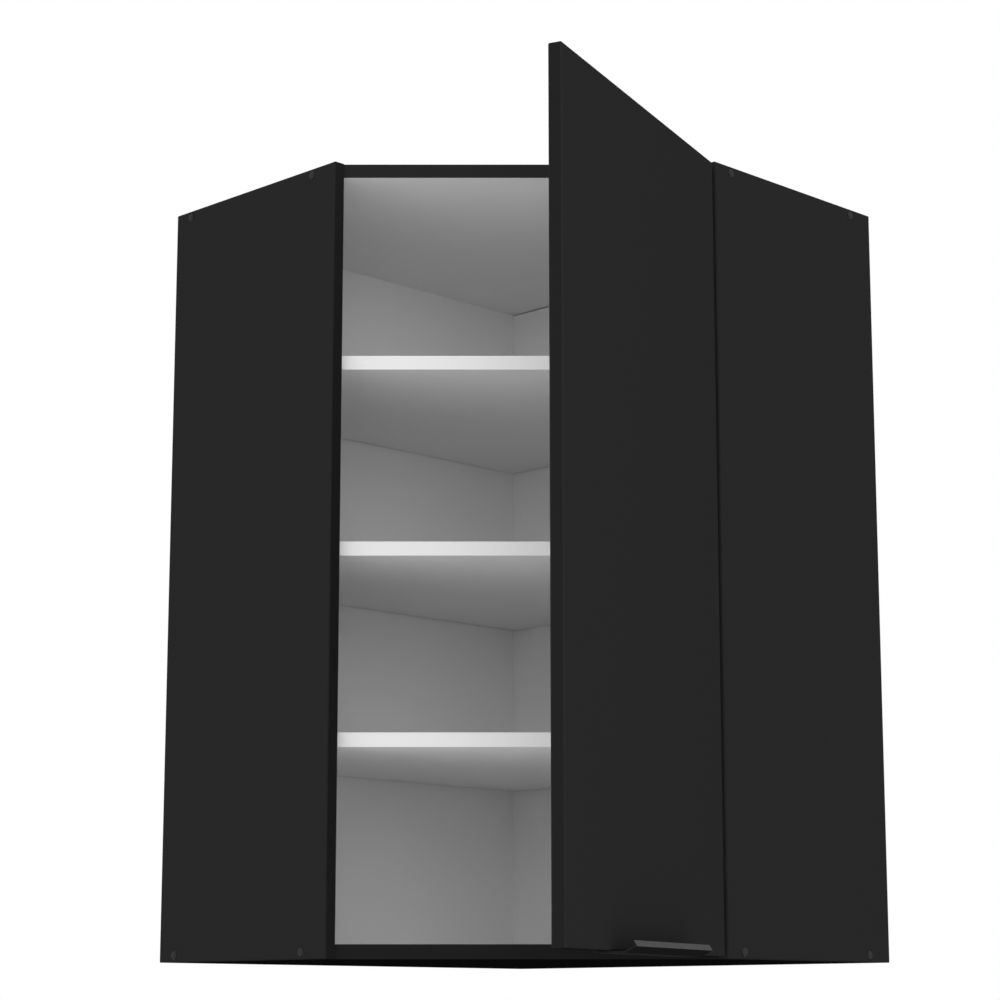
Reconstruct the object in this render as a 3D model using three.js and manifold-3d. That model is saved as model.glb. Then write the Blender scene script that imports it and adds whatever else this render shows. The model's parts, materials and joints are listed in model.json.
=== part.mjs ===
// A corner wall cabinet with a diagonal front, built from its boards, fittings and hinged door.
// Millimetres, +Z up. The origin is the corner of the room at the level of the cabinet's underside:
// the right-hand wall is the plane y = 0 and the left-hand wall is the plane x = 0.

import * as THREE from 'three';
import { mergeVertices } from 'three/addons/utils/BufferGeometryUtils.js';
import Module from 'manifold-3d';

const wasm = await Module();
wasm.setup();

// ---------------------------------------------------------------- driving dimensions

const height = 900;            // underside to top
const wallLength = 598;        // along each wall: a 600 mm unit made 2 mm under
const sideDepth = 290;         // width of each side panel, from its wall
const board = 16;              // side panels, top, bottom and right-hand back
const edgeRound = 2;           // rounding of the edge banding on side panels and door
const frontInset = 1;          // top and bottom boards behind the side panels' inner corners
const seat = 0.3;              // gap that a fitting keeps to what it rests on
const over = 1;                // a cutting tool starts or ends this far outside what it cuts
const facets = { small: 10, medium: 16, large: 32 };   // sides of round pins, eyes and cups

const backInset = { left: 10, right: 11.5 };    // wall to the back face of each back panel
const hardboard = 3.3;         // left-hand back panel
const groove = { depth: 6, play: 0.3 };
const backShort = 1.5;         // right-hand back panel ends this far under the top board

const shelf = {
  thickness: 16,
  names: ['lower', 'middle', 'upper'],
  play: 1,                     // clearance to side and back panels
  setback: 16,                 // front edge behind the side panels' inner corners
  rowStart: 17,                // the shelves share out the height between these two distances,
  rowEnd: 23.8,                // from the underside and from the top
};
const pin = { shank: 2.5, collar: 4, peg: 3, inBoard: 8, collarLength: 0.7, pegLength: 7.5 };
const pinColumns = { fromWall: 60, fromFront: 54 };        // on each side panel
const pinOnBack = 92;          // pin on the right-hand back panel, from the left-hand wall
const holePitch = 32;          // spare holes above and below each pin

const screw = { head: 4.8, shank: 3.5, thread: 2.9, socket: 2, socketDepth: 2.5 };    // radii and a depth
const screwAlong = { head: 3.5, neck: 12, shoulder: 1, point: 3, length: 50 };        // lengths
const screwSink = 0.5;         // screw head below the panel's outer face
const screwPlaces = {          // on each side panel, in line with the top and the bottom board
  left: { fromWall: 27.4, fromFront: 39.1 },
  right: { fromWall: 38.7, fromFront: 27.3 },
};
const cap = { radius: 4.8, crown: 1.3, rim: 0.5, stem: 1.6, stemLength: 2 };

const hanger = { length: 48, height: 62, thickness: 15, round: 1.5, below: 10, back: 1 };
const hangerSlot = { short: 14, below: 6, above: 4 };   // end, floor and roof of the slot for the hook
const adjuster = { radius: 3, depth: 5, apart: 22, drop: 6 };   // sockets of a hanger's two screws
const hook = { gauge: 2.5, width: 8, lip: 14, heel: 4, fromWall: 1.5, short: 16, rise: 36 };
const hookRoom = { beside: 2, below: 2, above: 6 };     // the notch in the back panel, round the hook

const doorThickness = 16;
const reveal = { bottom: 2.3, top: 2.5 };      // door short of the cabinet's underside and top
const closedGap = { side: 0.4, free: 0.15, front: 2.6 };   // closed door to the inner corners
const openAngle = THREE.MathUtils.degToRad(64);
const hingePoint = { along: 0.3, out: 10 };    // axis, from the right side panel's inner corner

const cup = { radius: 17.4, depth: 12.2, wall: 1.4, fromEnd: 22.5, flange: 1.2, rim: 1.5 };
const wings = { behind: 6, width: 13, span: 60, hole: 2.2, holes: 48 };   // the cup's screw wings
const hingeFromEnd = 100;                  // hinge centres from the door's top and bottom
const plate = { length: 44, height: 20, thickness: 3, fromFront: 37, rail: 5, railInset: 4 };
const cross = { width: 15, span: 46, thickness: 2, hole: 2.2, holes: 32 };   // the plate's screw wings
const arm = { height: 17, width: 11, web: 1.6, front: 9 };
const neck = { gauge: 3.2, height: 8.2, root: 12 };   // the arm's curved end, from inside the channel
const neckBend = [[-6.9, -6], [-6.2, 2]];  // its two bends, along and out from the inner corner
const pivot = { pin: 1.75, play: 0.12, eye: 4, ear: 4 };   // radii, and thickness of the cup's two ears
const doorNotch = { length: 8.3, skin: 4 };   // where the neck lies in the closed door's inner corner

const grip = { length: 200, gauge: 2, backLeg: 15, reach: 14, lipOut: 25.5, lipRise: 4.6 };
const gripTip = { out: 22.5, rise: 9.5 };
const gripScrew = { head: 3.4, shank: 1.6, headDepth: 1.2, sink: 0.2, point: 2, length: 13 };
const gripHole = { fromEnd: 30, rise: 8.5 };
const buffer = { radius: 4, chamfer: 1.2, fromEnd: 12, fromEdge: 7 };

// ---------------------------------------------------------------- materials

const paint = (color, roughness, metalness = 0) =>
  new THREE.MeshStandardMaterial({ color, roughness, metalness });
const blackLaminate = paint(0x282828, 0.6);
const whiteLaminate = paint(0xe3e3e3, 0.55);
const blackPlastic = paint(0x2b2b2b, 0.45);
const steel = paint(0xb9babb, 0.35, 0.9);
const darkAluminium = paint(0x565656, 0.4, 0.8);
const clearRubber = paint(0xd8d8d4, 0.5);

// ---------------------------------------------------------------- solids

function toSolid(geometry) {
  const bare = geometry.index ? geometry.toNonIndexed() : geometry.clone();
  for (const name of Object.keys(bare.attributes)) {
    if (name !== 'position') bare.deleteAttribute(name);
  }
  const merged = mergeVertices(bare, 1e-4);
  return new wasm.Manifold(new wasm.Mesh({
    numProp: 3,
    vertProperties: new Float32Array(merged.attributes.position.array),
    triVerts: new Uint32Array(merged.index.array),
  }));
}

function toGeometry(solid) {
  const mesh = solid.getMesh();
  const geometry = new THREE.BufferGeometry();
  geometry.setAttribute('position', new THREE.BufferAttribute(mesh.vertProperties, 3));
  geometry.setIndex(new THREE.BufferAttribute(mesh.triVerts, 1));
  geometry.computeVertexNormals();
  return geometry;
}

function cut(geometry, tools) {
  const left = tools.reduce((solid, tool) => solid.subtract(toSolid(tool)), toSolid(geometry));
  return toGeometry(left);
}

function fuse(geometries) {
  const [first, ...others] = geometries.map(toSolid);
  return toGeometry(others.reduce((solid, other) => solid.add(other), first));
}

function block(low, high) {
  const size = high.map((value, i) => value - low[i]);
  const middle = high.map((value, i) => (value + low[i]) / 2);
  return new THREE.BoxGeometry(...size).translate(...middle);
}

const axisTurn = {
  '+x': [0, 0, -Math.PI / 2],
  '-x': [0, 0, Math.PI / 2],
  '+y': [0, 0, 0],
  '-y': [Math.PI, 0, 0],
  '+z': [Math.PI / 2, 0, 0],
  '-z': [-Math.PI / 2, 0, 0],
};

// A revolved shape: (radius, distance) points along the direction, starting at the given place.
function turned(profile, place, direction, steps) {
  const points = profile.map(([radius, distance]) => new THREE.Vector2(radius, distance));
  const geometry = new THREE.LatheGeometry(points, steps);
  const turn = new THREE.Euler(...axisTurn[direction]);
  geometry.applyMatrix4(new THREE.Matrix4().makeRotationFromEuler(turn));
  return geometry.translate(...place);
}

function rod(place, direction, radius, length, steps = facets.small) {
  return turned([[0, 0], [radius, 0], [radius, length], [0, length]], place, direction, steps);
}

// A flat piece: an outline in plan, from one height to another, with its long edges rounded.
function slab(outline, low, high, round = 0) {
  const shape = new THREE.Shape(outline.map(([x, y]) => new THREE.Vector2(x, y)));
  const rounded = {
    depth: high - low - 2 * round,
    bevelEnabled: round > 0,
    bevelThickness: round,
    bevelSize: round,
    bevelOffset: -round,
    bevelSegments: 3,
  };
  return new THREE.ExtrudeGeometry(shape, rounded).translate(0, 0, low + round);
}

// An upright piece: an outline in x and z, with its thickness from y = -thickness to y = 0.
function uprightSlab(outline, thickness, round = 0) {
  return slab(outline, 0, thickness, round).rotateX(Math.PI / 2);
}

const rectangle = (left, low, right, high) => [[left, low], [right, low], [right, high], [left, high]];

// The outline of a strip of even thickness that follows a bent line.
function bentStrip(line, gauge) {
  const points = line.map(([x, y]) => new THREE.Vector2(x, y));
  const sideOf = (sign) => points.map((point, i) => {
    const before = points[i - 1] ?? point;
    const after = points[i + 1] ?? point;
    const a = point.clone().sub(before);
    const b = after.clone().sub(point);
    const first = (a.length() ? a : b).clone().normalize();
    const second = (b.length() ? b : a).clone().normalize();
    const normal = new THREE.Vector2(-first.y - second.y, first.x + second.x).normalize();
    const stretch = 1 / (normal.x * -first.y + normal.y * first.x);
    return point.clone().addScaledVector(normal, sign * stretch * gauge / 2);
  });
  return [...sideOf(1), ...sideOf(-1).reverse()].map(({ x, y }) => [x, y]);
}

// ---------------------------------------------------------------- places shared by the pieces

const inner = wallLength - board;              // inner face of both side panels, from the far wall
const topUnder = height - board;
const faces = {
  left: backInset.left + hardboard,            // inner face of the left-hand back panel
  right: -(backInset.right + board),           // inner face of the right-hand back panel
};
const cornerLine = inner + sideDepth;          // x - y on the line between the inner corners
const undersides = shelf.names.map((name, i) =>
  shelf.rowStart + (i + 1) * (height - shelf.rowStart - shelf.rowEnd) / (shelf.names.length + 1));
const pinHeights = undersides.map((underside) => underside - pin.peg - seat);
const door = {
  width: (inner - sideDepth) * Math.SQRT2 - closedGap.side - closedGap.free,
  thickness: doorThickness,
  bottom: reveal.bottom,
  top: height - reveal.top,
};

// The two side panels are alike, turned about the room's corner. A place on one of them is given by
// its distance from the wall, its height, and how far it lies behind the panel's outer face.
const sides = ['left', 'right'];
const inward = { left: '+y', right: '-x' };
const outward = { left: '-y', right: '+x' };
const onSide = {
  left: (fromWall, z, behind) => [fromWall, -(wallLength - behind), z],
  right: (fromWall, z, behind) => [wallLength - behind, -fromWall, z],
};

// The rear and the front place of a fitting on a side panel, as distances from the wall.
const bothPlaces = ({ fromWall, fromFront }) => ({ rear: fromWall, front: sideDepth - fromFront });
const pinFromWall = bothPlaces(pinColumns);
const screwFromWall = { left: bothPlaces(screwPlaces.left), right: bothPlaces(screwPlaces.right) };

// The outline of a board that fills the cabinet between its sides, clear of them by the given play.
function fiveSided(left, back, play, behindFront) {
  const line = cornerLine - behindFront * Math.SQRT2;
  const side = inner - play;
  return [[left, back], [left, -side], [line - side, -side], [side, side - line], [side, back]];
}

const root = new THREE.Group();

function add(name, geometry, material, parent = root) {
  const mesh = new THREE.Mesh(geometry, material);
  mesh.name = name;
  parent.add(mesh);
  return mesh;
}

// ---------------------------------------------------------------- side panels

const boardMiddles = { bottom: board / 2, top: height - board / 2 };

// Holes for the carcass screws, sunk for their heads, and rows of holes for the shelf pins.
function sideHoles(side) {
  const tools = [];
  for (const z of Object.values(boardMiddles)) {
    for (const fromWall of Object.values(screwFromWall[side])) {
      const start = onSide[side](fromWall, z, -over);
      const headDepth = over + screwSink + screwAlong.head + seat;
      tools.push(rod(start, inward[side], screw.head + seat, headDepth, 12));
      tools.push(rod(start, inward[side], screw.shank + seat, board + 2 * over, 12));
    }
  }
  for (const pinZ of pinHeights) {
    for (const fromWall of Object.values(pinFromWall)) {
      for (const step of [-holePitch, 0, holePitch]) {
        const start = onSide[side](fromWall, pinZ + step, board + over);
        tools.push(rod(start, outward[side], pin.shank + seat, over + pin.inBoard + seat));
      }
    }
  }
  return tools;
}

const sidePanel = () => uprightSlab(rectangle(0, 0, sideDepth, height), board, edgeRound);
const backSlot = block(
  [backInset.left - groove.play, -inner - groove.depth, board - groove.depth],
  [faces.left, -inner + over, topUnder + groove.depth],
);
const leftSide = sidePanel().translate(0, -inner, 0);
const rightSide = sidePanel().rotateZ(-Math.PI / 2).translate(wallLength, 0, 0);
add('left_side', cut(leftSide, [...sideHoles('left'), backSlot]), blackLaminate);
add('right_side', cut(rightSide, sideHoles('right')), blackLaminate);

// ---------------------------------------------------------------- top and bottom boards

// Both boards have a groove for the left-hand back panel and holes in their ends for the screws.
function horizontalBoard(low, grooveSide) {
  const plain = slab(fiveSided(0, 0, 0, frontInset), low, low + board);
  const face = grooveSide > 0 ? low + board : low;
  const slot = block(
    [backInset.left - groove.play, -inner - over, face - groove.depth],
    [faces.left, faces.right, face + groove.depth],
  );
  const depth = screwSink + screwAlong.length - board + seat;
  const holes = sides.flatMap((side) => Object.values(screwFromWall[side]).map((fromWall) => {
    const start = onSide[side](fromWall, low + board / 2, board - over);
    return rod(start, inward[side], screw.thread + seat, over + depth, 12);
  }));
  return cut(plain, [slot, ...holes]);
}

add('bottom_board', horizontalBoard(0, 1), blackLaminate);
add('top_board', horizontalBoard(topUnder, -1), blackLaminate);

// ---------------------------------------------------------------- back panels

const hangerLow = topUnder - hanger.below - hanger.height;
const hookZ = hangerLow + hook.rise;           // underside of the hook's strip
const notch = {
  width: hanger.thickness + hookRoom.beside,
  low: hookZ - hook.lip - hookRoom.below,
  high: hookZ + hook.gauge + hookRoom.above,
};

const inGroove = groove.depth - groove.play;
const leftBack = block(
  [backInset.left, -inner - inGroove, board - inGroove],
  [faces.left - groove.play, faces.right - groove.play, topUnder + inGroove],
);
const leftNotch = block(
  [backInset.left - over, -inner - groove.depth - over, notch.low],
  [faces.left + over, -inner + notch.width, notch.high],
);
add('left_back', cut(leftBack, [leftNotch]), whiteLaminate);

const rightBack = block([0, faces.right, board], [inner, -backInset.right, topUnder - backShort]);
const rightNotch = block(
  [inner - notch.width, faces.right - over, notch.low],
  [inner + over, over, notch.high],
);
const backPinHoles = pinHeights.map((z) =>
  rod([pinOnBack, faces.right - over, z], '+y', pin.shank + seat, over + pin.inBoard + seat));
add('right_back', cut(rightBack, [rightNotch, ...backPinHoles]), whiteLaminate);

// ---------------------------------------------------------------- shelves and their pins

const pegEnd = pin.collarLength + pin.pegLength;
const pinProfile = [
  [0, -pin.inBoard], [pin.shank, -pin.inBoard], [pin.shank, 0],
  [pin.collar, seat], [pin.collar, pin.collarLength],
  [pin.peg, pin.collarLength], [pin.peg, pegEnd], [0, pegEnd],
];

function addShelf(name, underside, pinZ) {
  const outline = fiveSided(faces.left + shelf.play, faces.right - shelf.play, shelf.play, shelf.setback);
  add(`shelf_${name}`, slab(outline, underside, underside + shelf.thickness), whiteLaminate);
  for (const side of sides) {
    for (const [column, fromWall] of Object.entries(pinFromWall)) {
      const place = onSide[side](fromWall, pinZ, board);
      const shape = turned(pinProfile, place, inward[side], facets.small);
      add(`shelf_pin_${name}_${side}_${column}`, shape, steel);
    }
  }
  const backPin = turned(pinProfile, [pinOnBack, faces.right, pinZ], '-y', facets.small);
  add(`shelf_pin_${name}_back`, backPin, steel);
}

shelf.names.forEach((name, i) => addShelf(name, undersides[i], pinHeights[i]));

// ---------------------------------------------------------------- carcass screws and cover caps

const screwProfile = [
  [0, screw.socketDepth], [screw.socket, screw.socketDepth], [screw.socket, 0],
  [screw.head, 0], [screw.head, screwAlong.head],
  [screw.shank, screwAlong.head], [screw.shank, screwAlong.neck],
  [screw.thread, screwAlong.neck + screwAlong.shoulder],
  [screw.thread, screwAlong.length - screwAlong.point], [0, screwAlong.length],
];
// The cap's dome is a quarter of an ellipse, from its rim to its crown.
const dome = [1, 2, 3].map((step) => {
  const turn = step * Math.PI / 6;
  return [step < 3 ? cap.radius * Math.cos(turn) : 0, cap.rim + (cap.crown - cap.rim) * Math.sin(turn)];
});
const capProfile = [
  [0, -cap.stemLength], [cap.stem, -cap.stemLength], [cap.stem, seat],
  [cap.radius, seat], [cap.radius, cap.rim], ...dome,
];

for (const side of sides) {
  for (const [level, z] of Object.entries(boardMiddles)) {
    for (const [place, fromWall] of Object.entries(screwFromWall[side])) {
      const where = `${side}_${level}_${place}`;
      const head = onSide[side](fromWall, z, screwSink);
      const hole = onSide[side](fromWall, z, 0);
      add(`carcass_screw_${where}`, turned(screwProfile, head, inward[side], facets.small), steel);
      add(`cover_cap_${where}`, turned(capProfile, hole, outward[side], facets.medium), blackPlastic);
    }
  }
}

// ---------------------------------------------------------------- wall hangers

// A hanger beside the left side panel: a steel housing with a slot for the hook, which reaches
// through the back panel's notch and bends down behind a rail on the wall. Its argument is the
// distance from the wall to the back panel's inner face.
function hangerParts(back) {
  const start = back + hanger.back;
  const end = start + hanger.length;
  const face = -inner + seat;
  const middle = face + hanger.thickness / 2;
  const [near, far] = [middle - hook.width / 2, middle + hook.width / 2];

  const outline = rectangle(start, hangerLow, end, hangerLow + hanger.height);
  const housing = uprightSlab(outline, hanger.thickness, hanger.round);
  housing.translate(0, face + hanger.thickness, 0);
  const slot = block(
    [start - over, near - seat, hookZ - hangerSlot.below],
    [end - hangerSlot.short, far + seat, hookZ + hook.gauge + hangerSlot.above],
  );
  const adjusterZ = hangerLow + hanger.height / 2 - adjuster.drop;
  const sockets = [-0.5, 0.5].map((way) => {
    const mouth = [end + over, middle, adjusterZ + way * adjuster.apart];
    return rod(mouth, '-x', adjuster.radius, over + adjuster.depth);
  });

  const lipX = hook.fromWall + hook.gauge / 2;
  const heelX = end - hook.short - hook.gauge / 2;
  const stripZ = hookZ + hook.gauge / 2;
  const line = [[lipX, hookZ - hook.lip], [lipX, stripZ], [heelX, stripZ], [heelX, hookZ - hook.heel]];
  const bent = uprightSlab(bentStrip(line, hook.gauge), hook.width).translate(0, far, 0);
  return { housing: cut(housing, [slot, ...sockets]), hook: fuse([bent]) };
}

// Mirror across the diagonal plane x = -y, keeping the faces pointing out.
function mirrored(geometry) {
  const swap = new THREE.Matrix4().set(0, -1, 0, 0, -1, 0, 0, 0, 0, 0, 1, 0, 0, 0, 0, 1);
  const copy = geometry.clone().applyMatrix4(swap);
  const index = copy.index.array;
  for (let i = 0; i < index.length; i += 3) [index[i], index[i + 1]] = [index[i + 1], index[i]];
  copy.computeVertexNormals();
  return copy;
}

const leftHanger = hangerParts(faces.left);
const rightHanger = hangerParts(-faces.right);
add('left_hanger', leftHanger.housing, steel);
add('left_hanger_hook', leftHanger.hook, steel);
add('right_hanger', mirrored(rightHanger.housing), steel);
add('right_hanger_hook', mirrored(rightHanger.hook), steel);

// ---------------------------------------------------------------- where the door hangs

// Plan directions of the front: along it towards the right, and out of the cabinet.
const along = new THREE.Vector2(Math.SQRT1_2, Math.SQRT1_2);
const out = new THREE.Vector2(Math.SQRT1_2, -Math.SQRT1_2);
const innerCorner = new THREE.Vector2(inner, -sideDepth);

const fromCorner = (a, b) => innerCorner.clone().addScaledVector(along, a).addScaledVector(out, b);
const hingeAxis = fromCorner(hingePoint.along, hingePoint.out);
const closedEnd = fromCorner(-closedGap.side, closedGap.front + door.thickness);
const openEnd = closedEnd.clone().rotateAround(hingeAxis, openAngle);

// In the door's own frame x runs from its hinge end to its free end and y out of its face.
const doorGroup = new THREE.Group();
doorGroup.position.set(openEnd.x, openEnd.y, 0);
doorGroup.rotation.z = Math.PI * 1.25 + openAngle;
root.add(doorGroup);

const hingeHeights = { lower: door.bottom + hingeFromEnd, upper: door.top - hingeFromEnd };

// ---------------------------------------------------------------- door, grip and buffers

const doorBack = -door.thickness;              // the door's inner face, in its own frame
const gripMiddle = door.width / 2;
const gripScrews = { right: -1, left: 1 };     // seen from in front, by the way along the door
const gripScrewX = (way) => gripMiddle + way * (grip.length / 2 - gripHole.fromEnd);
const gripRise = door.bottom + gripHole.rise;

// The corner that is cut from the door's inner face, and from the cup, for the hinge's neck.
function hingeNotch(z, half) {
  const behindCup = doorBack - seat - cup.flange - over;
  return block([-over, behindCup, z - half], [doorNotch.length, -doorNotch.skin, z + half]);
}

function doorPanel() {
  const outline = rectangle(0, door.bottom, door.width, door.top);
  const panel = uprightSlab(outline, door.thickness, edgeRound);
  const tools = Object.values(hingeHeights).flatMap((z) => [
    rod([cup.fromEnd, doorBack - over, z], '+y', cup.radius + seat, over + cup.depth + seat, facets.large),
    hingeNotch(z, neck.height / 2 + pivot.ear + 2 * seat),
  ]);
  for (const way of Object.values(gripScrews)) {
    const start = [gripScrewX(way), doorBack - over, gripRise];
    const depth = gripScrew.sink + gripScrew.length - grip.gauge;
    tools.push(rod(start, '+y', gripScrew.shank + seat, over + depth));
  }
  return cut(panel, tools);
}

// The grip is one bent strip: it climbs the back of the door, runs under it and turns up to a lip.
function gripSection() {
  const behind = doorBack - seat - grip.gauge / 2;
  const base = door.bottom - seat;
  const under = base - grip.gauge / 2;
  const line = [
    [behind, base + grip.backLeg],
    [behind, under],
    [grip.reach, under],
    [grip.lipOut, base + grip.lipRise],
    [gripTip.out, base + gripTip.rise],
  ];
  return bentStrip(line, grip.gauge);
}

const gripBack = doorBack - seat - grip.gauge;   // the face that the heads of its screws are sunk in

function gripGeometry() {
  const lengthways = new THREE.Matrix4().makeBasis(
    new THREE.Vector3(0, 1, 0),
    new THREE.Vector3(0, 0, 1),
    new THREE.Vector3(1, 0, 0),
  );
  const strip = slab(gripSection(), 0, grip.length).applyMatrix4(lengthways);
  strip.translate(gripMiddle - grip.length / 2, 0, 0);
  // Each hole is countersunk at the slope of its screw's head.
  const slope = (gripScrew.head - gripScrew.shank) / gripScrew.headDepth;
  const mouth = gripScrew.head + seat + slope * (over + gripScrew.sink);
  const throat = gripScrew.shank + seat;
  const taper = over + gripScrew.sink + gripScrew.headDepth;
  const through = over + grip.gauge + seat;
  const profile = [[0, 0], [mouth, 0], [throat, taper], [throat, taper + through], [0, taper + through]];
  const holes = Object.values(gripScrews).map((way) =>
    turned(profile, [gripScrewX(way), gripBack - over, gripRise], '+y', facets.medium));
  return cut(strip, holes);
}

add('door', doorPanel(), blackLaminate, doorGroup);
add('handle', gripGeometry(), darkAluminium, doorGroup);

const gripScrewProfile = [
  [0, 0], [gripScrew.head, 0], [gripScrew.shank, gripScrew.headDepth],
  [gripScrew.shank, gripScrew.length - gripScrew.point], [0, gripScrew.length],
];
for (const [side, way] of Object.entries(gripScrews)) {
  const place = [gripScrewX(way), gripBack + gripScrew.sink, gripRise];
  const shape = turned(gripScrewProfile, place, '+y', facets.small);
  add(`handle_screw_${side}`, shape, steel, doorGroup);
}

const bufferThickness = closedGap.front + frontInset - 2 * seat;
const bufferProfile = [
  [0, 0], [buffer.radius, 0], [buffer.radius, bufferThickness - buffer.chamfer],
  [buffer.radius - buffer.chamfer, bufferThickness], [0, bufferThickness],
];
const bufferHeights = { bottom: door.bottom + buffer.fromEdge, top: door.top - buffer.fromEdge };
for (const [level, z] of Object.entries(bufferHeights)) {
  const place = [door.width - buffer.fromEnd, doorBack - seat, z];
  add(`door_buffer_${level}`, turned(bufferProfile, place, '-y', facets.medium), clearRubber, doorGroup);
}

// ---------------------------------------------------------------- hinges

// The hinge's axis in the door's own frame.
const pivotInDoor = [-closedGap.side - hingePoint.along, hingePoint.out - closedGap.front - door.thickness];

// The cup in the door, with its screw wings, and two ears that hold the pin of the hinge.
function cupGeometry(z) {
  const back = doorBack - seat - cup.flange;
  const disc = (radius, start, length) =>
    rod([cup.fromEnd, start, z], '+y', radius, length, facets.large);
  const body = disc(cup.radius, back, cup.flange + cup.depth);
  const rim = disc(cup.radius + cup.rim, back, cup.flange);
  const hollow = disc(cup.radius - cup.wall, back - over, over + cup.flange + cup.depth - cup.wall);

  const middle = cup.fromEnd + wings.behind;
  const flange = block(
    [middle - wings.width / 2, back, z - wings.span / 2],
    [middle + wings.width / 2, doorBack - seat, z + wings.span / 2],
  );
  const holes = [-0.5, 0.5].map((way) =>
    rod([middle, back - over, z + way * wings.holes], '+y', wings.hole, cup.flange + 2 * over));
  const gap = hingeNotch(z, neck.height / 2 + seat);
  const shell = cut(fuse([body, rim, flange]), [hollow, gap, ...holes]);

  const [x, y] = pivotInDoor;
  const start = neck.height / 2 + seat;
  const reach = cup.fromEnd - Math.sqrt(cup.radius ** 2 - (start + pivot.ear) ** 2) + cup.wall / 2;
  const ears = [start, -start - pivot.ear].flatMap((low) => [
    rod([x, y, z + low], '+z', pivot.eye, pivot.ear, facets.medium),
    block([x, y - pivot.eye, z + low], [reach, y + pivot.eye, z + low + pivot.ear]),
  ]);
  const hingePin = rod([x, y, z - start - over], '+z', pivot.pin, 2 * start + 2 * over, facets.medium);
  return cut(fuse([shell, ...ears, hingePin]), [hollow]);
}

// The plate on the right side panel: a base, two screw wings, and a rail for the arm.
function plateGeometry(z) {
  const face = inner - seat;
  const middle = -sideDepth + plate.fromFront;
  const bar = (thickness, length, tall) => block(
    [face - thickness, middle - length / 2, z - tall / 2],
    [face, middle + length / 2, z + tall / 2],
  );
  const base = bar(plate.thickness, plate.length, plate.height);
  const wing = bar(cross.thickness, cross.width, cross.span);
  const railHeight = arm.height - 2 * (arm.web + seat);
  const rail = bar(plate.thickness + plate.rail, plate.length - 2 * plate.railInset, railHeight);
  const through = over + seat + cross.thickness + over;
  const holes = [-0.5, 0.5].map((way) =>
    rod([inner + over, middle, z + way * cross.holes], '-x', cross.hole, through));
  return cut(fuse([base, wing, rail]), holes);
}

// The arm: a channel over the plate's rail, and a bent neck that reaches round the side panel's
// inner corner and ends in an eye on the hinge's axis.
function armGeometry(z) {
  const start = 2 * seat + plate.thickness;
  const half = arm.height / 2;
  const front = -sideDepth + arm.front;
  const railEnd = -sideDepth + plate.fromFront + plate.length / 2 - plate.railInset;
  const channelEnd = railEnd + seat;
  const outer = block(
    [inner - start - arm.width, front, z - half],
    [inner - start, channelEnd + arm.web, z + half],
  );
  const channel = block(
    [inner - start - arm.width + arm.web, front - over, z - half + arm.web],
    [inner - start + over, channelEnd, z + half - arm.web],
  );

  const web = inner - start - arm.width + neck.gauge / 2;
  const bends = neckBend.map(([a, b]) => fromCorner(a, b).toArray());
  const line = [[web, front + neck.root], [web, front], ...bends, hingeAxis.toArray()];
  const low = z - neck.height / 2;
  const bend = slab(bentStrip(line, neck.gauge), low, low + neck.height);
  const eye = rod([hingeAxis.x, hingeAxis.y, low], '+z', pivot.eye, neck.height, facets.medium);
  const boreStart = [hingeAxis.x, hingeAxis.y, low - over];
  const bore = rod(boreStart, '+z', pivot.pin + pivot.play, neck.height + 2 * over, facets.medium);
  return cut(fuse([cut(outer, [channel]), bend, eye]), [bore]);
}

for (const [level, z] of Object.entries(hingeHeights)) {
  add(`hinge_${level}_plate`, plateGeometry(z), steel);
  add(`hinge_${level}_arm`, armGeometry(z), steel);
  add(`hinge_${level}_cup`, cupGeometry(z), steel, doorGroup);
}

export default root;
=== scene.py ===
# %% [markdown]
# # A corner wall cabinet
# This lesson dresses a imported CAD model: a wall cabinet for the corner of a kitchen, with a diagonal
# front, three light shelves and one door that stands open. The boards, hinges and screws are already
# there as solids. What is left to do is what makes them believable: the right finish on each piece, the
# small screws that a solid leaves out, a camera, and even light.

# %% Load the frame
import json
import math

import bmesh
import bpy
from mathutils import Matrix, Vector


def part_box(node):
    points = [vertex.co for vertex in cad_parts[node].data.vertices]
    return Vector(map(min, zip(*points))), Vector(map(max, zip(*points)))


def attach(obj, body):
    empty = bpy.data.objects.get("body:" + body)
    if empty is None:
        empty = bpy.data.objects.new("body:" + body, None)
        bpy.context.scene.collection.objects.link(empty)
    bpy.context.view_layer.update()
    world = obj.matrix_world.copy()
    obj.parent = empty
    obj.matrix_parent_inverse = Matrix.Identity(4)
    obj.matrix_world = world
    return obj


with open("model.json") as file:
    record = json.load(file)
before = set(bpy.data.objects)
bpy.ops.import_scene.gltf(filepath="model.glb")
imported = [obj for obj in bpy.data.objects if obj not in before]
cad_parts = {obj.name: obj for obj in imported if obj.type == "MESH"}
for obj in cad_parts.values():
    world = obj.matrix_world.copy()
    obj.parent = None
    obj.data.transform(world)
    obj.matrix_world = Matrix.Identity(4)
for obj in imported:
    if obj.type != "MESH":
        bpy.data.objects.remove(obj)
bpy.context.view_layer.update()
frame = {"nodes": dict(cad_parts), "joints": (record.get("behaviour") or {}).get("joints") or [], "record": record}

MM = 0.001
nodes = frame["nodes"]

# %% [markdown]
# ## The camera
# The picture was taken from a long way off and a little below the cabinet, on the diagonal of the corner.
# A long lens keeps the far side panel nearly as large as the near one. A view camera would hold the
# upright edges exactly parallel by sliding the lens far up. Here the camera is tilted instead and the lens
# slides only a little, so the cabinet stays in the picture when the camera is moved to another side.

# %% Place the camera
def add_camera(place, turn, tilt, lens, slide_up):
    data = bpy.data.cameras.new("camera")
    data.lens = lens
    data.sensor_width = 36
    data.shift_y = slide_up
    camera = bpy.data.objects.new("camera", data)
    camera.location = place
    camera.rotation_euler = (math.radians(90 + tilt), 0, math.radians(turn))
    bpy.context.collection.objects.link(camera)
    bpy.context.scene.camera = camera
    return camera


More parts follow.
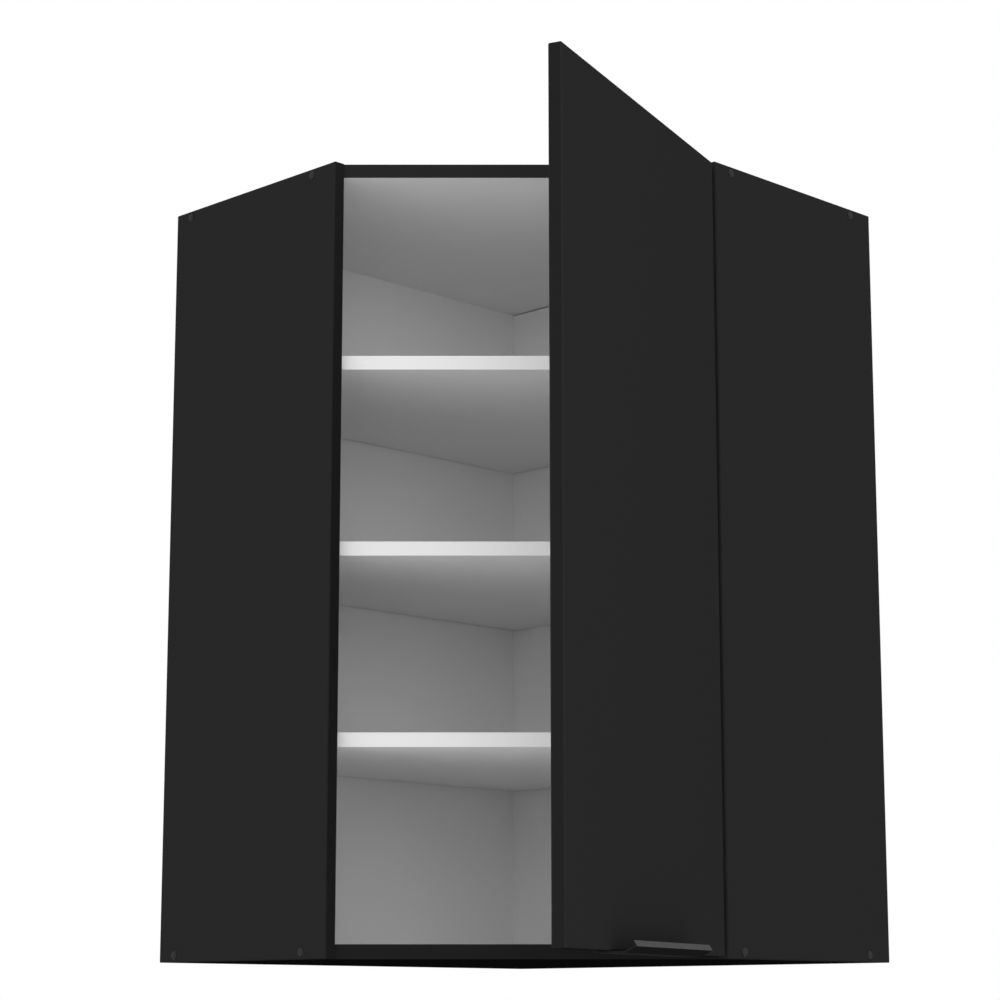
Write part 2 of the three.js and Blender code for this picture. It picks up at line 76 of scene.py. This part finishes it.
camera = add_camera((2.396, -2.437, -0.058), turn=44.99, tilt=10.73, lens=91.9, slide_up=0.03)
print("camera", round(camera.location.length, 2), "m from the corner of the room")

# %% [markdown]
# ## Colour and nodes
# Paint charts and pixels give colours in sRGB, in which equal steps look equal. A renderer adds light, so
# it needs linear values, and one function turns the first into the second. Another function adds a node
# to a material: it takes what goes into the node's sockets and the node's own settings, so that a
# material reads from top to bottom like a recipe.

# %% Helpers for colours and nodes
def linear(code):
    parts = [int(code[i:i + 2], 16) / 255 for i in (1, 3, 5)]
    return (*(p / 12.92 if p <= 0.04045 else ((p + 0.055) / 1.055) ** 2.4 for p in parts), 1.0)


def add_node(tree, kind, sockets, **settings):
    node = tree.nodes.new(kind)
    for name, value in settings.items():
        setattr(node, name, value)
    for name, value in sockets.items():
        if isinstance(value, bpy.types.NodeSocket):
            tree.links.new(value, node.inputs[name])
        else:
            node.inputs[name].default_value = value
    return node


print("#808080 is", round(linear("#808080")[0], 3), "in linear light")

# %% Helpers for materials
def new_material(name):
    material = bpy.data.materials.new(name)
    material.use_nodes = True
    material.node_tree.nodes.clear()
    return material, material.node_tree


def finish_material(tree, **sockets):
    named = {name.replace("_", " "): value for name, value in sockets.items()}
    shader = add_node(tree, "ShaderNodeBsdfPrincipled", named)
    add_node(tree, "ShaderNodeOutputMaterial", {"Surface": shader.outputs["BSDF"]})


# %% [markdown]
# ## Light and room
# The real picture has no strong shadow: the light comes from everywhere, a little more of it from the
# front, and the inside of the cabinet is darker only because its boards hide the room. A world of plain
# white light does that. What the camera, gloss and glass see of the world is paper white, whatever its
# strength. Two lamps add to it, one in front and one above. Both are large, so that their shadows have no
# edge. The floor lies far below, where a kitchen floor is.

# %% The world
ROOM_LIGHT = 1.25
world = bpy.data.worlds.new("even_room")
world.use_nodes = True
bpy.context.scene.world = world
bpy.context.scene.view_settings.view_transform = "Standard"
sky = world.node_tree
sky.nodes.clear()
ray = add_node(sky, "ShaderNodeLightPath", {}).outputs
plain = add_node(sky, "ShaderNodeMath", {0: ray["Is Camera Ray"], 1: ray["Is Glossy Ray"]},
                 operation="MAXIMUM")
seen = add_node(sky, "ShaderNodeMath", {0: plain.outputs[0], 1: ray["Is Transmission Ray"]},
                operation="MAXIMUM")
light = add_node(sky, "ShaderNodeBackground", {"Color": linear("#ffffff"), "Strength": ROOM_LIGHT})
paper = add_node(sky, "ShaderNodeBackground", {"Color": linear("#ffffff"), "Strength": 1.0})
both = add_node(sky, "ShaderNodeMixShader", {0: seen.outputs[0], 1: light.outputs[0], 2: paper.outputs[0]})
add_node(sky, "ShaderNodeOutputWorld", {"Surface": both.outputs[0]})
print("world nodes:", len(sky.nodes))

# %% The lamps
def add_lamp(name, place, aim, size, level):
    """level is the light on a surface at the aim that faces the lamp; 1 shows a colour as written."""
    towards = Vector(aim) - Vector(place)
    data = bpy.data.lights.new(name, "AREA")
    data.shape = "DISK"
    data.size = size
    data.energy = level * (math.pi * towards.length) ** 2
    lamp = bpy.data.objects.new(name, data)
    lamp.location = place
    lamp.rotation_euler = towards.to_track_quat("-Z", "Y").to_euler()
    bpy.context.collection.objects.link(lamp)


add_lamp("front_lamp", place=(2.5, -2.5, 0.95), aim=(0.35, -0.35, 0.45), size=1.6, level=0.22)
add_lamp("top_lamp", place=(0.4, -0.4, 3.4), aim=(0.3, -0.3, 0.9), size=1.8, level=0.4)
print("lamps:", [lamp.name for lamp in bpy.data.lights])

# %% The floor
# Light that bounces off the floor onto the cabinet meets a greyer floor than the one in the picture.
DROP = 1.45


def add_floor(half, drop, paint):
    mesh = bpy.data.meshes.new("floor")
    corners = [(-half, -half, -drop), (half, -half, -drop), (half, half, -drop), (-half, half, -drop)]
    mesh.from_pydata(corners, [], [(0, 1, 2, 3)])
    floor = bpy.data.objects.new("floor", mesh)
    floor.data.materials.append(paint)
    bpy.context.collection.objects.link(floor)


floor_paint, tree = new_material("pale_painted_floor")
bounced = add_node(tree, "ShaderNodeLightPath", {}).outputs["Is Diffuse Ray"]
tone = add_node(tree, "ShaderNodeMix", {0: bounced, 6: linear("#f2f2f2"), 7: linear("#d0d0d0")},
                data_type="RGBA")
finish_material(tree, Base_Color=tone.outputs[2], Roughness=0.8)
add_floor(half=40, drop=DROP, paint=floor_paint)
print("the floor lies", DROP, "m below the cabinet")

# %% [markdown]
# ## Melamine board
# The cabinet is made of melamine-faced board: wood particles pressed with glue, and on each face a sheet
# of printed paper soaked in melamine resin, pressed on against a fine-grained steel plate. That gives a
# hard matt skin with an even colour and a grain of about half a millimetre. The boards of this cabinet are
# black outside and pale inside, so one board needs two colours, and its mesh has one slot. The
# direction that a face looks in tells them apart. The direction is taken in the board's own space, so
# that the door keeps its colours when it turns.

# %% Where a face looks, a mix of two colours, and grain
def facing(tree, direction, least=0.99):
    """1 on faces that look that way, and 0 elsewhere; least is the smallest cosine that counts."""
    surface = add_node(tree, "ShaderNodeNewGeometry", {})
    own = add_node(tree, "ShaderNodeVectorTransform", {"Vector": surface.outputs["True Normal"]},
                   vector_type="NORMAL", convert_from="WORLD", convert_to="OBJECT")
    along = add_node(tree, "ShaderNodeVectorMath", {0: own.outputs[0], 1: direction}, operation="DOT_PRODUCT")
    match = add_node(tree, "ShaderNodeMath", {0: along.outputs["Value"], 1: least}, operation="GREATER_THAN")
    return match.outputs[0]


def blend(tree, amount, first, second):
    return add_node(tree, "ShaderNodeMix", {0: amount, 6: first, 7: second}, data_type="RGBA").outputs[2]


def speckle(tree, size, detail=2.0):
    """Even noise whose specks are about this many millimetres across."""
    place = add_node(tree, "ShaderNodeTexCoord", {}).outputs["Object"]
    noise = add_node(tree, "ShaderNodeTexNoise",
                     {"Vector": place, "Scale": 1 / (size * MM), "Detail": detail})
    return noise.outputs["Fac"]


def bump(tree, pattern, depth):
    """A bump of this many millimetres."""
    return add_node(tree, "ShaderNodeBump", {"Height": pattern, "Distance": depth * MM}).outputs["Normal"]


# %% Raw particle board
# The flakes are 1 to 3 mm long. Their colours run from pale sapwood to dark bark.
FLAKE = 2.4     # millimetres from one to the next


def particles(tree):
    place = add_node(tree, "ShaderNodeTexCoord", {}).outputs["Object"]
    flakes = add_node(tree, "ShaderNodeTexVoronoi", {"Vector": place, "Scale": 1 / (FLAKE * MM)})
    pick = add_node(tree, "ShaderNodeSeparateColor", {0: flakes.outputs["Color"]})
    ramp = add_node(tree, "ShaderNodeValToRGB", {"Fac": pick.outputs["Red"]})
    ramp.color_ramp.elements[0].color = linear("#7d5f3d")
    ramp.color_ramp.elements[1].color = linear("#c9ab7c")
    ramp.color_ramp.elements.new(0.35).color = linear("#a98a5e")
    return ramp.outputs["Color"]


# %% [markdown]
# Black melamine would usually have an index of refraction near 1.5. The picture shows no sheen on it at
# all, even on the underside, which is seen almost edge-on. A fine matt grain breaks the gloss up that far,
# so the specular level is zero and the fine grain is left to the bump.

# %% Colours of the boards
# The edges of the boards carry a plastic band. On the door's free end, the left side's front edge and the
# bottom board's front it is painted a shade darker than the printed faces, and the shelves' front edges
# are painted a little greyer than their faces: both are painted shade. The undersides are nearly black in
# the picture, so they get a nearly black painted shade of their own.
BLACK, SHADED_EDGE, SHADED_UNDERSIDE = "#242424", "#1e1e1e", "#0a0a0a"
PALE, SHADED_PALE_EDGE = "#f2f2f2", "#e5e5e5"
RIGHT, LEFT, UP, DOWN, REAR = (1, 0, 0), (-1, 0, 0), (0, 0, 1), (0, 0, -1), (0, 1, 0)
FRONT = (math.sqrt(0.5), -math.sqrt(0.5), 0)          # out of the cabinet's diagonal front
CLOSED, OPENED = 225, 64     # degrees: where the closed door points from its hinges, and how far it is open
door_angle = math.radians(CLOSED + OPENED)
FREE_END = (math.cos(door_angle), math.sin(door_angle), 0)
print("the door's free end points to", [round(v, 2) for v in FREE_END])


# %% Black and two-faced boards
GRAIN, GRAIN_DEPTH = 0.6, 0.02     # of the melamine, in millimetres


def melamine_board(name, skins_and_shade, raw=()):
    """The second argument gives the colours of the faces that aren't black, by the way they look: printed skins
    and painted shade; raw faces show the particles.
    """
    material, tree = new_material(name)
    colour = linear(BLACK)
    for direction, skin_or_shade in skins_and_shade.items():
        colour = blend(tree, facing(tree, direction), colour, linear(skin_or_shade))
    for direction in raw:
        colour = blend(tree, facing(tree, direction), colour, particles(tree))
    finish_material(tree, Base_Color=colour, Roughness=0.85, Specular_IOR_Level=0.0,
                    Normal=bump(tree, speckle(tree, GRAIN), GRAIN_DEPTH))
    return material


# Painted shade: the undersides, the door's free end, the left side's front edge and the bottom board's front.
finishes = {
    "door": melamine_board("black_melamine_door", {DOWN: SHADED_UNDERSIDE, FREE_END: SHADED_EDGE}),
    "left_side": melamine_board("melamine_left_side", {REAR: PALE, RIGHT: SHADED_EDGE, DOWN: SHADED_UNDERSIDE}),
    "right_side": melamine_board("melamine_right_side", {LEFT: PALE, DOWN: SHADED_UNDERSIDE}),
    "top_board": melamine_board("melamine_top", {DOWN: PALE}, raw=[LEFT, REAR]),
    "bottom_board": melamine_board("melamine_bottom", {UP: PALE, FRONT: SHADED_EDGE, DOWN: SHADED_UNDERSIDE},
                                   raw=[LEFT, REAR]),
}
print("two-faced boards:", sorted(finishes))


# %% Pale boards: shelves and right-hand back
# The back board's face to the wall has a plain unprinted sheet, which only keeps the board from warping.
BACKING = "#d3d1cb"


def pale_melamine(name, raw, rear=PALE):
    material, tree = new_material(name)
    # The faces that look out of the front, the shelves' front edges, are painted greyer: painted shade.
    colour = blend(tree, facing(tree, FRONT), linear(PALE), linear(SHADED_PALE_EDGE))
    colour = blend(tree, facing(tree, REAR), colour, linear(rear))
    for direction in raw:
        colour = blend(tree, facing(tree, direction), colour, particles(tree))
    finish_material(tree, Base_Color=colour, Roughness=0.6, Specular_IOR_Level=0.2,
                    Normal=bump(tree, speckle(tree, GRAIN), GRAIN_DEPTH))
    return material


for name in ("shelf_lower", "shelf_middle", "shelf_upper"):
    finishes[name] = pale_melamine("pale_melamine_" + name, raw=[LEFT, REAR])
finishes["right_back"] = pale_melamine("pale_melamine_back", raw=[LEFT, RIGHT, UP, DOWN], rear=BACKING)
print("boards with a finish:", len(finishes))

# %% Hardboard, pale in front and brown behind
hardboard, tree = new_material("lacquered_hardboard")
fibre = speckle(tree, 1.5, detail=6)
brown = blend(tree, fibre, linear("#6b4d33"), linear("#8a6a4a"))
colour = blend(tree, facing(tree, RIGHT), brown, linear(PALE))
finish_material(tree, Base_Color=colour, Roughness=0.7, Specular_IOR_Level=0.2,
                Normal=bump(tree, fibre, 0.03))
finishes["left_back"] = hardboard

# %% [markdown]
# ## Metal, plastic and rubber
# Hinges are pressed from sheet steel and plated with nickel, a warm bright grey. Hangers, hooks and screws
# are zinc-plated, which is cooler and duller. The grip is aluminium that was drawn, brushed along its
# length and anodised dark. The cover caps are moulded in black polypropylene against a spark-eroded tool.
# The door stops on two clear buffers of soft polyurethane.

# %% Plated steel
UNEVEN = 0.06      # how far the roughness strays


def plated_steel(name, colour, roughness, stain):
    """The plating is a little uneven; stain is how far apart its patches lie, in millimetres."""
    material, tree = new_material(name)
    stains = speckle(tree, stain)
    rough = add_node(tree, "ShaderNodeMapRange",
                     {"Value": stains, "To Min": roughness - UNEVEN, "To Max": roughness + UNEVEN})
    finish_material(tree, Base_Color=linear(colour), Metallic=1.0, Roughness=rough.outputs[0],
                    Normal=bump(tree, stains, 0.005))
    return material


nickel = plated_steel("nickel_plated_steel", "#c4c0b8", roughness=0.26, stain=4)
zinc = plated_steel("zinc_plated_steel", "#b3b6b8", roughness=0.38, stain=2)

# %% Moulded plastic and rubber
polypropylene, tree = new_material("black_polypropylene")
finish_material(tree, Base_Color=linear("#292929"), Roughness=0.5, Specular_IOR_Level=0.06,
                Normal=bump(tree, speckle(tree, 0.3), 0.02))
polyurethane, tree = new_material("clear_polyurethane")
finish_material(tree, Base_Color=linear("#e4e4de"), Roughness=0.25, IOR=1.5, Transmission_Weight=0.6,
                Normal=bump(tree, speckle(tree, 1.5), 0.02))

# %% Brushed and anodised aluminium
# The scratches run along the grip. It lies in the door, which stands open, so the noise is turned to
# the door's own direction and stretched along it. They are 0.4 mm apart, coarser than real ones. The faces
# under the grip are painted darker and lose the metal, and its sawn end is painted darker too: painted shade.
SCRATCHES_APART, STRETCH = 0.4, 0.02
anodised, tree = new_material("dark_anodised_aluminium")
place = add_node(tree, "ShaderNodeTexCoord", {}).outputs["Object"]
turned = add_node(tree, "ShaderNodeMapping", {"Vector": place, "Rotation": (0, 0, -door_angle)})
drawn = add_node(tree, "ShaderNodeMapping", {"Vector": turned.outputs[0], "Scale": (STRETCH, 1, 1)})
fine = 1 / (SCRATCHES_APART * MM)
scratches = add_node(tree, "ShaderNodeTexNoise", {"Vector": drawn.outputs[0], "Scale": fine})
rough = add_node(tree, "ShaderNodeMapRange",
                 {"Value": scratches.outputs["Fac"], "To Min": 0.45, "To Max": 0.65})
# Painted shade: faces that look down get darker colours and lose the metal, and the sawn end gets a darker colour.
shade_under_grip = facing(tree, DOWN, least=0.8)
film_and_shade = blend(tree, shade_under_grip, linear("#494949"), linear("#191919"))
film_and_shade = blend(tree, facing(tree, DOWN), film_and_shade, linear("#262626"))
film_and_shade = blend(tree, facing(tree, FREE_END), film_and_shade, linear("#222222"))
metal_outside_shade = add_node(tree, "ShaderNodeMapRange", {"Value": shade_under_grip, "To Min": 0.3, "To Max": 0.0})
finish_material(tree, Base_Color=film_and_shade, Metallic=metal_outside_shade.outputs[0], Roughness=rough.outputs[0],
                Specular_IOR_Level=0.0, Normal=bump(tree, scratches.outputs["Fac"], 0.02))

# %% Give each CAD node its finish
slots = {
    "steel": zinc,
    "black_plastic": polypropylene,
    "dark_aluminium": anodised,
    "clear_rubber": polyurethane,
}
nickel_plated = ("hinge_", "shelf_pin_")
for part in frame["record"]["subparts"]:
    name = part["node"]
    finish = finishes.get(name) or slots[part["material_slot"]]
    if name.startswith(nickel_plated):
        finish = nickel
    nodes[name].data.materials.clear()
    nodes[name].data.materials.append(finish)

# %% [markdown]
# ## Small screws
# The solids stop at holes for screws, so the screws of the hinges are made here. Each is a flattened dome
# with a cross recess. The dome is spun from a few points, and the recess is cut with a four-armed wedge by a
# Boolean, because a dark cross painted on would be flat in every close view.

# %% A mesh from faces, and a dome
def new_piece(name, bm, material):
    mesh = bpy.data.meshes.new(name)
    bm.to_mesh(mesh)
    bm.free()
    piece = bpy.data.objects.new(name, mesh)
    bpy.context.collection.objects.link(piece)
    piece.data.materials.append(material)
    return piece


def spun(points, segments):
    """A closed solid of revolution about Z from (radius, height) points."""
    bm = bmesh.new()
    rings = []
    for radius, z in points:
        if radius == 0:
            rings.append([bm.verts.new((0, 0, z))])
        else:
            turns = [2 * math.pi * i / segments for i in range(segments)]
            rings.append([bm.verts.new((radius * math.cos(t), radius * math.sin(t), z)) for t in turns])
    for low, high in zip(rings, rings[1:]):
        for i in range(segments):
            j = (i + 1) % segments
            corners = [low[i % len(low)], low[j % len(low)], high[j % len(high)], high[i % len(high)]]
            bm.faces.new(list(dict.fromkeys(corners)))
    return bm


# %% Cut the cross recess
def cross_wedge(reach, width, depth, taper=0.45):
    """Two crossed blades; taper is the share of their reach that is left at the lower end."""
    bm = bmesh.new()
    for turn in (0, math.pi / 2):
        made = bmesh.ops.create_cube(bm, size=1)["verts"]
        bmesh.ops.scale(bm, vec=(2 * reach, width, 2 * depth), verts=made)
        for vert in made:
            if vert.co.z < 0:
                vert.co.x *= taper
        bmesh.ops.rotate(bm, cent=(0, 0, 0), matrix=Matrix.Rotation(turn, 3, "Z"), verts=made)
    return bm


def carved(piece, cutter):
    cut = piece.modifiers.new("recess", "BOOLEAN")
    cut.object = cutter
    cut.operation = "DIFFERENCE"
    cut.use_self = True
    cut.solver = "EXACT"
    shape = bpy.data.meshes.new_from_object(piece.evaluated_get(bpy.context.evaluated_depsgraph_get()))
    piece.modifiers.clear()
    piece.data = shape
    bpy.data.objects.remove(cutter)


def screw_master(name, radius, crown):
    points = [(0, 0), (radius, 0), (radius, 0.25 * crown), (0.9 * radius, 0.6 * crown),
              (0.6 * radius, 0.9 * crown), (0, crown)]
    head = new_piece(name, spun([(r * MM, z * MM) for r, z in points], 32), nickel)
    blades = cross_wedge(reach=0.62 * radius * MM, width=0.2 * radius * MM, depth=1.1 * MM)
    wedge = new_piece("wedge", blades, nickel)
    wedge.location.z = crown * MM
    bpy.context.view_layer.update()
    carved(head, wedge)
    return head


master = screw_master("hinge_screw", radius=3.7, crown=1.7)
print("one screw head:", len(master.data.polygons), "faces")

# %% [markdown]
# The heads stand on the wings of the hinge plates and cups, and two more on each arm, where they set the
# door sideways and in depth. The plates and arms are square to the walls, so their boxes give the places.
# The cups stand askew with the open door, so their screws are placed in the door's own directions. A head
# moves with what it holds: the carcass or the door.

# %% Sizes of the hinges, in millimetres
PLATE_SCREWS_APART, CUP_SCREWS_APART, ARM_SCREWS_APART = 32, 48, 20
WING = 2                         # thickness of a plate's screw wings
ARM_SCREWS_BACK = 1              # the middle between an arm's screws, behind the plate's middle
CUP_SCREWS = (28.5, -17.5)       # from the door's hinge end, and from its outer face
PIN_IN_DOOR = (-0.7, -8.6)       # the hinge pin, from the same two

# %% Where the door is
pin = Vector(frame["joints"][0]["pos_m"])
along_door = Vector(FREE_END)
out_of_door = Vector((-along_door.y, along_door.x, 0))
door_corner = pin - PIN_IN_DOOR[0] * MM * along_door - PIN_IN_DOOR[1] * MM * out_of_door


def in_door(along, out, height):
    spot = door_corner + along * MM * along_door + out * MM * out_of_door
    spot.z = height
    return spot


print("the open door's outer corner, by the hinges:", [round(v, 4) for v in door_corner[:2]])

# %% Set the screws
def set_screw(name, place, out, turn, body):
    screw = bpy.data.objects.new(name, master.data)
    spin = out.to_track_quat("Z", "Y").to_matrix().to_4x4() @ Matrix.Rotation(math.radians(turn), 4, "Z")
    screw.matrix_world = Matrix.Translation(place) @ spin
    bpy.context.collection.objects.link(screw)
    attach(screw, body)


into_room = Vector(LEFT)
turns = {                        # in degrees, of a screw in the plate, the cup and the arm
    "lower": [(12, 5, 20), (48, 62, 40)],
    "upper": [(71, 40, 62), (30, 20, 5)],
}
for hinge, pair in turns.items():
    low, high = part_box(f"hinge_{hinge}_plate")
    arm_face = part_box(f"hinge_{hinge}_arm")[0].x
    middle = (low + high) / 2
    for number, way, (plate_turn, cup_turn, arm_turn) in zip((1, 2), (-0.5, 0.5), pair):
        spot = Vector((high.x - WING * MM, middle.y, middle.z + way * PLATE_SCREWS_APART * MM))
        set_screw(f"plate_screw_{hinge}_{number}", spot, into_room, plate_turn, "carcass")
        spot = in_door(*CUP_SCREWS, middle.z + way * CUP_SCREWS_APART * MM)
        set_screw(f"cup_screw_{hinge}_{number}", spot, -out_of_door, cup_turn, "door")
        spot = Vector((arm_face, middle.y + (ARM_SCREWS_BACK - way * ARM_SCREWS_APART) * MM, middle.z))
        set_screw(f"arm_screw_{hinge}_{number}", spot, into_room, arm_turn, "carcass")
bpy.data.objects.remove(master)
